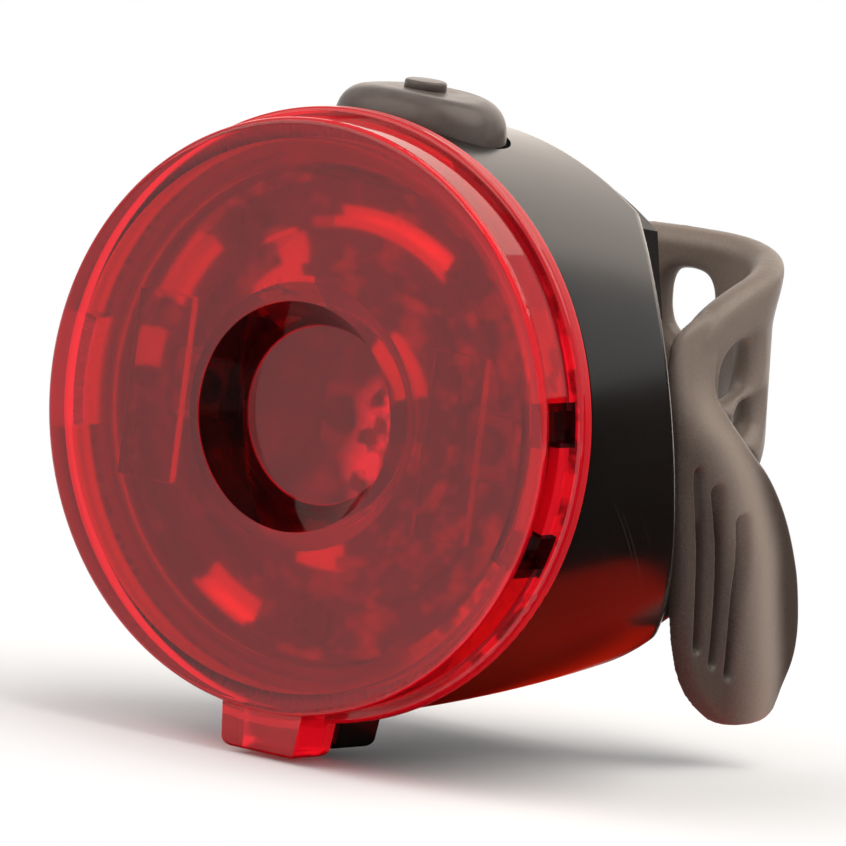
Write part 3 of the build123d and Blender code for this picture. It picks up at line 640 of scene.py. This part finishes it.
for hole in holes:
    inside = [face for face in shape.faces if hole_reach(hole, face.calc_center_median()) < 1]
    bmesh.ops.delete(shape, geom=inside, context="FACES")
    for vert in shape.verts:
        reach = hole_reach(hole, vert.co)
        if vert.is_boundary and reach < hole_pull:
            middle = Vector((hole[0], hole[1], 0))
            vert.co = middle + (vert.co - middle) / reach
skin = bmesh.ops.extrude_face_region(shape, geom=shape.faces[:])
for vert in new_verts(skin):
    vert.co.z = 1.0
for vert in shape.verts:
    run, up = vert.co.x, vert.co.y
    rims = [up - along(low_edge, run), along(top_edge, run) - up]
    rims += [(hole_reach(hole, vert.co) - 1) * hole[3] for hole in holes]
    inward = 1 - min(1.0, max(0.0, min(rims)) / edge_round)
    thick = band_half * max(edge_thin, math.sqrt(1 - inward ** 2))
    flared = flare * smooth_share((run - flare_start[0]) / flare_reach[0])
    flared *= smooth_share((up - flare_start[1]) / flare_reach[1])
    across, behind = band_line(run, (2 * vert.co.z - 1) * thick + flared)
    vert.co = Vector((across, behind + up * math.tan(math.radians(band_lean)), up)) * mm
bmesh.ops.recalc_face_normals(shape, faces=shape.faces[:])

# Down the leaf: how far behind the pin's line its front edge, rear edge, ridge and thumb
# grooves lie, and how far out its face stands, each at some drops.

leaf_left = [(-7.1, 0.3), (-6.7, -1.3), (-5.6, -2.1), (-3, -2.35), (0, -2.6), (4, -2.85),
             (8, -3.15), (11, -3.3), (13.5, -3.05), (15.6, -2.2), (17.2, -0.9), (18.4, 0.5),
             (19.15, 2.2), (19.4, 3.9)]
leaf_right = [(-7.1, 2.6), (-6.6, 3.2), (-5, 2.3), (-2.4, 1.6), (-0.8, 2.3), (1.6, 3.9),
              (4.5, 6.15), (7.6, 7.65), (11.1, 8.5), (13.6, 8.6), (15.5, 8.35), (17.2, 7.6),
              (18.4, 6.5), (19.15, 5.2), (19.4, 3.9)]
leaf_ridge = [(-7.1, 0.2), (-4, -0.4), (-1, 0.3), (1.2, 1.6), (4.8, 2.9), (8.9, 3.9),
              (12.5, 3.9), (18, 3.9), (19.4, 3.9)]
leaf_height = [(-7.1, 11.6), (-3, 11.9), (0, 12.4), (4, 12.85), (16, 12.85), (19.4, 12.5)]
thumb_grooves = [[(2.0, -0.9), (6.9, -1.15), (9.2, -1.45), (12.6, -1.95)],
                 [(3.6, 0.75), (7.1, 0.8), (10, 0.45), (12.9, -0.15), (14.1, -0.45)],
                 [(6.0, 2.5), (8.6, 2.55), (11.6, 1.95), (14, 1.45), (15.4, 1.1)]]
groove_half = 0.48
groove_deep = 1.1
groove_slope = 1.5
dish = 0.85
dish_reach = 2.6
lobe = 0.6
lobe_reach = 3.0
relief_start = -3
relief_reach = 6
leaf_inner = 10.95
leaf_edge = 0.6
leaf_long = leaf_left[-1][0] - leaf_left[0][0]


def groove_share(drop, behind):
    """How deep in a thumb groove a place on the leaf lies, where 1 is the groove's floor."""
    share = 0.0
    for groove in thumb_grooves:
        beyond = max(groove[0][0] - drop, drop - groove[-1][0], 0)
        reach = math.hypot(behind - along(groove, drop), beyond) / groove_half
        if reach < 1:
            share = max(share, (1 - reach ** 2) ** groove_slope)
    return share


leaf = bmesh.new()
bmesh.ops.create_grid(leaf, x_segments=70, y_segments=170, size=0.5)
for vert in leaf.verts:
    drop = leaf_left[0][0] + leaf_long * (vert.co.y + 0.5)
    left, right_edge = along(leaf_left, drop), along(leaf_right, drop)
    behind = left + (right_edge - left) * (vert.co.x + 0.5)
    ridge = along(leaf_ridge, drop)
    out = along(leaf_height, drop)
    fade = min(1.0, max(0.0, (drop - relief_start) / relief_reach))
    out -= fade * dish * smooth_share((ridge - behind) / dish_reach)
    out -= fade * lobe * smooth_share((behind - ridge) / lobe_reach)
    near_edge = max(0.0, min(behind - left, right_edge - behind, leaf_left[-1][0] - drop,
                             drop - leaf_left[0][0]))
    out -= leaf_edge * (1 - math.sqrt(1 - (1 - min(1.0, near_edge / leaf_edge)) ** 2))
    out -= groove_deep * groove_share(drop, behind)
    vert.co = Vector((out, behind, -drop)) * mm
skin = bmesh.ops.extrude_face_region(leaf, geom=leaf.faces[:])
for vert in new_verts(skin):
    vert.co.x = leaf_inner * mm
bmesh.ops.recalc_face_normals(leaf, faces=leaf.faces[:])

eye_reach = (1.05, 2.0)
eye_height = (-2.2, 6.6)
eye = bmesh.new()
corners = [eye.verts.new(Vector((root[0] + eye_reach[side], root[1], eye_height[end])) * mm)
           for side, end in ((0, 0), (1, 0), (1, 1), (0, 1))]
eye.faces.new(corners)
bmesh.ops.spin(eye, geom=eye.verts[:] + eye.edges[:] + eye.faces[:], axis=(0, 0, 1),
               cent=(root[0] * mm, root[1] * mm, 0), angle=2 * math.pi, steps=48,
               use_merge=True)
bmesh.ops.recalc_face_normals(eye, faces=eye.faces[:])

for part in (leaf, eye):
    spare = bpy.data.meshes.new("spare")
    part.to_mesh(spare)
    part.free()
    shape.from_mesh(spare)
    bpy.data.meshes.remove(spare)

strap_tones = ("#43352f", "#94857a")
fleck_share = 0.08
silicone, tree, shader = new_finish("moulded_grey_silicone",
                                    {"IOR": 1.43, "Sheen Weight": 0.15, "Sheen Roughness": 0.35})
patterns = add_grain(tree, shader, grain=0.12, depth=0.003, roughness=(0.36, 0.48))
# The base colour follows a tone kept on each point: a painted highlight on the leaf's ridge, and
# painted shade in its hollow, on its far side and in its grooves.
painted_leaf_tone = add_node(tree, "ShaderNodeAttribute", {"attribute_name": "leaf_painted_light"}, {})
flecks = add_node(tree, "ShaderNodeMapRange",
                  {"From Min": noise_range[0], "From Max": noise_range[1],
                   "To Min": -fleck_share, "To Max": fleck_share}, {"Value": patterns["fine"]})
tone = add_node(tree, "ShaderNodeMath", {"operation": "ADD"},
                {0: painted_leaf_tone.outputs["Fac"], 1: flecks.outputs["Result"]})
add_mottle(tree, shader, tone.outputs["Value"], strap_tones, ends=(0.0, 1.0))

melt_size = 0.15
soften_share = 0.5
soften_rounds = 7
bmesh.ops.transform(shape, matrix=post_turn, verts=shape.verts[:])
strap_parts = new_object("strap_parts", shape, silicone)
melt = strap_parts.modifiers.new("melt", "REMESH")
melt.mode = "VOXEL"
melt.voxel_size = melt_size * mm
soften = strap_parts.modifiers.new("soften", "SMOOTH")
soften.factor = soften_share
soften.iterations = soften_rounds
bpy.context.view_layer.update()
moulded = bpy.data.meshes.new_from_object(strap_parts.evaluated_get(
    bpy.context.evaluated_depsgraph_get()))
shape = bmesh.new()
shape.from_mesh(moulded)
bpy.data.objects.remove(strap_parts)
bpy.data.meshes.remove(moulded)
band = new_piece("silicone_strap", shape, silicone, "strap")
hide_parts("strap")

# The painted tone on the leaf: a plain level, a painted highlight along the ridge, and painted
# shade in the hollow, on the far side and in the thumb grooves.
painted_leaf_start = 9.9
plain_leaf_tone = 0.6
ridge_highlight = 0.4
ridge_reach = 1.2
hollow_shade = 0.55
hollow_reach = 3.2
far_side_shade = 0.62
far_start = 0.8
far_reach = 2.6
groove_shade = 0.35
neck_start = -5
neck_reach = 4
side_start = 0.9
side_reach = 0.6

# Each point's tone: painted highlight and painted shade on the leaf, a plain tone elsewhere.
painted_light_layer = band.data.attributes.new("leaf_painted_light", "FLOAT", "POINT")
upright = post_turn.inverted()
for vert, mark in zip(band.data.vertices, painted_light_layer.data):
    co = upright @ vert.co / mm
    drop = -co.z
    mark.value = plain_leaf_tone
    if co.x > painted_leaf_start and leaf_left[0][0] < drop:
        off = co.y - along(leaf_ridge, drop)
        leafy = smooth_share((drop - neck_start) / neck_reach)
        leafy *= smooth_share((along(leaf_right, drop) + side_start - co.y) / side_reach)
        change = ridge_highlight * math.exp(-(off / ridge_reach) ** 2)
        change -= hollow_shade * smooth_share(-off / hollow_reach)
        change -= far_side_shade * smooth_share((off - far_start) / far_reach)
        change -= groove_shade * groove_share(drop, co.y)
        mark.value += leafy * change

# Stage. A plain pale floor and soft studio light, and the camera where the photograph's
# stood: in front, to the right and a little above, far enough to flatten the view.

scene.view_settings.view_transform = "Standard"

right = Vector((0.822, 0.556, 0.127)).normalized()
up = Vector((-0.175, 0.034, 0.984)).normalized()
back = right.cross(up).normalized()
lens_face = Vector((0.0, -25.75, 0.0))
target_right = 7.5
target_up = -0.35
target = lens_face + target_right * right + target_up * up
camera_distance = 1700.0
pixels_per_mm = 17.2
frame_pixels = 846
sensor_width = 36.0
camera_data = bpy.data.cameras.new("camera")
camera_data.sensor_width = sensor_width
camera_data.lens = sensor_width * pixels_per_mm * camera_distance / frame_pixels
camera_data.clip_start = 0.01
camera = bpy.data.objects.new("camera", camera_data)
scene.collection.objects.link(camera)
spot = (target + camera_distance * back) * mm
camera.matrix_world = Matrix(((right.x, up.x, back.x, spot.x), (right.y, up.y, back.y, spot.y),
                              (right.z, up.z, back.z, spot.z), (0, 0, 0, 1)))
scene.camera = camera

# The floor is pale matt paint that takes the lamp's shadow. Away from the lamp it passes into
# the plain white of the background, for the camera, reflections and clear pieces alone.

floor_half = 4000.0
floor_height = -20.2
white_reach = (28, 62)


def level_sheet(low, high, height):
    """A level rectangle between two corners, in millimetres."""
    shape = bmesh.new()
    bmesh.ops.create_grid(shape, x_segments=1, y_segments=1, size=0.5)
    for vert in shape.verts:
        share = vert.co + Vector((0.5, 0.5, 0))
        vert.co = Vector((low[0] + (high[0] - low[0]) * share.x,
                          low[1] + (high[1] - low[1]) * share.y, height)) * mm
    return shape


shape = level_sheet(low=(-floor_half, -floor_half), high=(floor_half, floor_half),
                    height=floor_height)
floor_paint, tree, shader = new_finish("pale_floor", {"Roughness": 0.9, "Specular IOR Level": 0.1,
                                                      "Base Color": linear("#eff1f5")})
rays = add_node(tree, "ShaderNodeLightPath", {}, {})
seen = fold(tree, "MAXIMUM", [rays.outputs[kind] for kind in
                              ("Is Camera Ray", "Is Glossy Ray", "Is Transmission Ray")])
point = add_node(tree, "ShaderNodeTexCoord", {}, {}).outputs["Object"]
away = add_node(tree, "ShaderNodeVectorMath", {"operation": "LENGTH"}, {0: point})
beyond = add_node(tree, "ShaderNodeMapRange",
                  {"interpolation_type": "SMOOTHSTEP", "From Min": white_reach[0] * mm,
                   "From Max": white_reach[1] * mm}, {"Value": away.outputs["Value"]})
white = fold(tree, "MULTIPLY", [seen, beyond.outputs["Result"]])
glow = add_node(tree, "ShaderNodeEmission", {"Strength": 1.0}, {})
blend = add_node(tree, "ShaderNodeMixShader", {}, {0: white, 1: shader.outputs["BSDF"],
                                                   2: glow.outputs["Emission"]})
output = next(node for node in tree.nodes if node.type == "OUTPUT_MATERIAL")
tree.links.new(blend.outputs["Shader"], output.inputs["Surface"])
floor = new_object("floor", shape, floor_paint)

# The world lights the lamp softly, and is white to the camera and through clear pieces. Two
# broad warm suns, from above and from the front, model its form.

world_strength = 0.55
sun_tone = "#fff6ea"
sun_spread = 60

world = bpy.data.worlds.new("studio")
scene.world = world
world.use_nodes = True
tree = world.node_tree
tree.nodes.clear()
lit = add_node(tree, "ShaderNodeBackground",
               {"Color": linear("#fdfdfd"), "Strength": world_strength}, {})
shown = add_node(tree, "ShaderNodeBackground", {"Color": linear("#ffffff"), "Strength": 1.0}, {})
rays = add_node(tree, "ShaderNodeLightPath", {}, {})
seen = fold(tree, "MAXIMUM", [rays.outputs["Is Camera Ray"], rays.outputs["Is Transmission Ray"]])
blend = add_node(tree, "ShaderNodeMixShader", {}, {0: seen, 1: lit.outputs["Background"],
                                                   2: shown.outputs["Background"]})
add_node(tree, "ShaderNodeOutputWorld", {}, {"Surface": blend.outputs["Shader"]})

for name, energy, towards in (("overhead_sun", 2.0, (-0.4, -0.2, -0.84)),
                              ("front_fill", 1.4, (0.5, 0.65, -0.57))):
    sun_data = bpy.data.lights.new(name, "SUN")
    sun_data.energy = energy
    sun_data.color = linear(sun_tone)[:3]
    sun_data.angle = math.radians(sun_spread)
    sun = bpy.data.objects.new(name, sun_data)
    scene.collection.objects.link(sun)
    sun.rotation_euler = Vector(towards).to_track_quat("-Z", "Y").to_euler()

# Three cards round the lamp are seen only in reflections. A black one on the floor, turned up
# at its far side, keeps the white floor out of the gloss housing. A red one under the drum
# stands for the light that the red lens throws there. A white one far behind is the bright
# backdrop that the drum's top and the rim mirror at a slant.


def reflected_card(name, shape, colour, glow=0.0):
    """Stands a matt or glowing card on the stage that only reflections see."""
    matt = new_finish(name, {"Roughness": 1.0, "Specular IOR Level": 0.0,
                             "Base Color": linear("#000000" if glow else colour),
                             "Emission Color": linear(colour), "Emission Strength": glow})[0]
    card = new_object(name, shape, matt)
    card.visible_camera = False
    card.visible_diffuse = False
    card.visible_shadow = False
    card.visible_transmission = False


flag_far = 205
flag_tall = 62
shape = level_sheet(low=(-5, -25), high=(325, flag_far), height=-20.1)
far = [edge for edge in shape.edges
       if min(vert.co.y for vert in edge.verts) > (flag_far - 1) * mm]
stood = bmesh.ops.extrude_edge_only(shape, edges=far)
for vert in new_verts(stood):
    vert.co.z += flag_tall * mm
reflected_card("black_flag", shape, "#1c1210")
shape = level_sheet(low=(-14, -13), high=(24, 18), height=-20.0)
reflected_card("red_card", shape, "#e0240e")

white_behind = 260
shape = level_sheet(low=(-340, -20), high=(70, 220), height=0)
bmesh.ops.rotate(shape, verts=shape.verts[:], matrix=Matrix.Rotation(math.pi / 2, 3, "X"))
bmesh.ops.translate(shape, verts=shape.verts[:], vec=(0, white_behind * mm, 0))
reflected_card("white_card", shape, "#fff3e8", glow=1.75)
